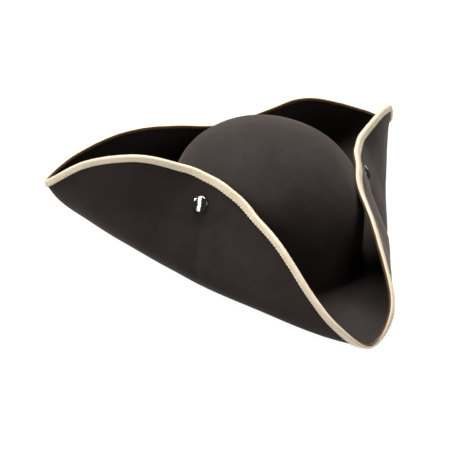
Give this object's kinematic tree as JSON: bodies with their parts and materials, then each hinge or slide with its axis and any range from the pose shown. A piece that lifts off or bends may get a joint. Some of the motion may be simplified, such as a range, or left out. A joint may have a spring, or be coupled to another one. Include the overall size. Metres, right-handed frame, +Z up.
{
  "type": "pirate hat",
  "caption": "Three-cornered felt hat whose brim flaps are held up to the crown by press studs, with a braid-bound edge.",
  "frame": {"origin": "middle of the head opening, on the plane that the brim rests on", "axes": "+Z up through the crown, -Y towards the front corner, +X towards the wearer's left"},
  "size_m": [0.3796, 0.3343, 0.126],
  "materials": {
    "felt": "blocked black felt with a short nap",
    "braid": "woven pale gold braid",
    "sweatband": "black ribbed ribbon",
    "snap_cap": "polished nickel",
    "snap_works": "plain nickel plate"
  },
  "bodies": {
    "body": {"felt_crown": "felt", "felt_brim": "felt", "braid_corners": "braid", "sweatband": "sweatband", "snap_stud_right": "snap_works", "snap_stud_left": "snap_works", "snap_stud_back": "snap_works", "snap_eyelet_right": "snap_works", "snap_eyelet_left": "snap_works", "snap_eyelet_back": "snap_works"},
    "right_flap": {"flap_right": "felt", "braid_right": "braid", "snap_cap_right": "snap_cap", "snap_socket_right": "snap_works"},
    "left_flap": {"flap_left": "felt", "braid_left": "braid", "snap_cap_left": "snap_cap", "snap_socket_left": "snap_works"},
    "back_flap": {"flap_back": "felt", "braid_back": "braid", "snap_cap_back": "snap_cap", "snap_socket_back": "snap_works"}
  },
  "joints": [
    {"name": "right_flap_fold", "type": "hinge", "parent": "body", "child": "right_flap", "pos_m": [-0.1092, -0.0544, 0.027], "axis": [0.4462, -0.8949, 0], "range_deg": [0, 60]},
    {"name": "left_flap_fold", "type": "hinge", "parent": "body", "child": "left_flap", "pos_m": [0.1092, -0.0544, 0.027], "axis": [0.4462, 0.8949, 0], "range_deg": [0, 60]},
    {"name": "back_flap_fold", "type": "hinge", "parent": "body", "child": "back_flap", "pos_m": [0, 0.12, 0.027], "axis": [-1, 0, 0], "range_deg": [0, 60]}
  ]
}
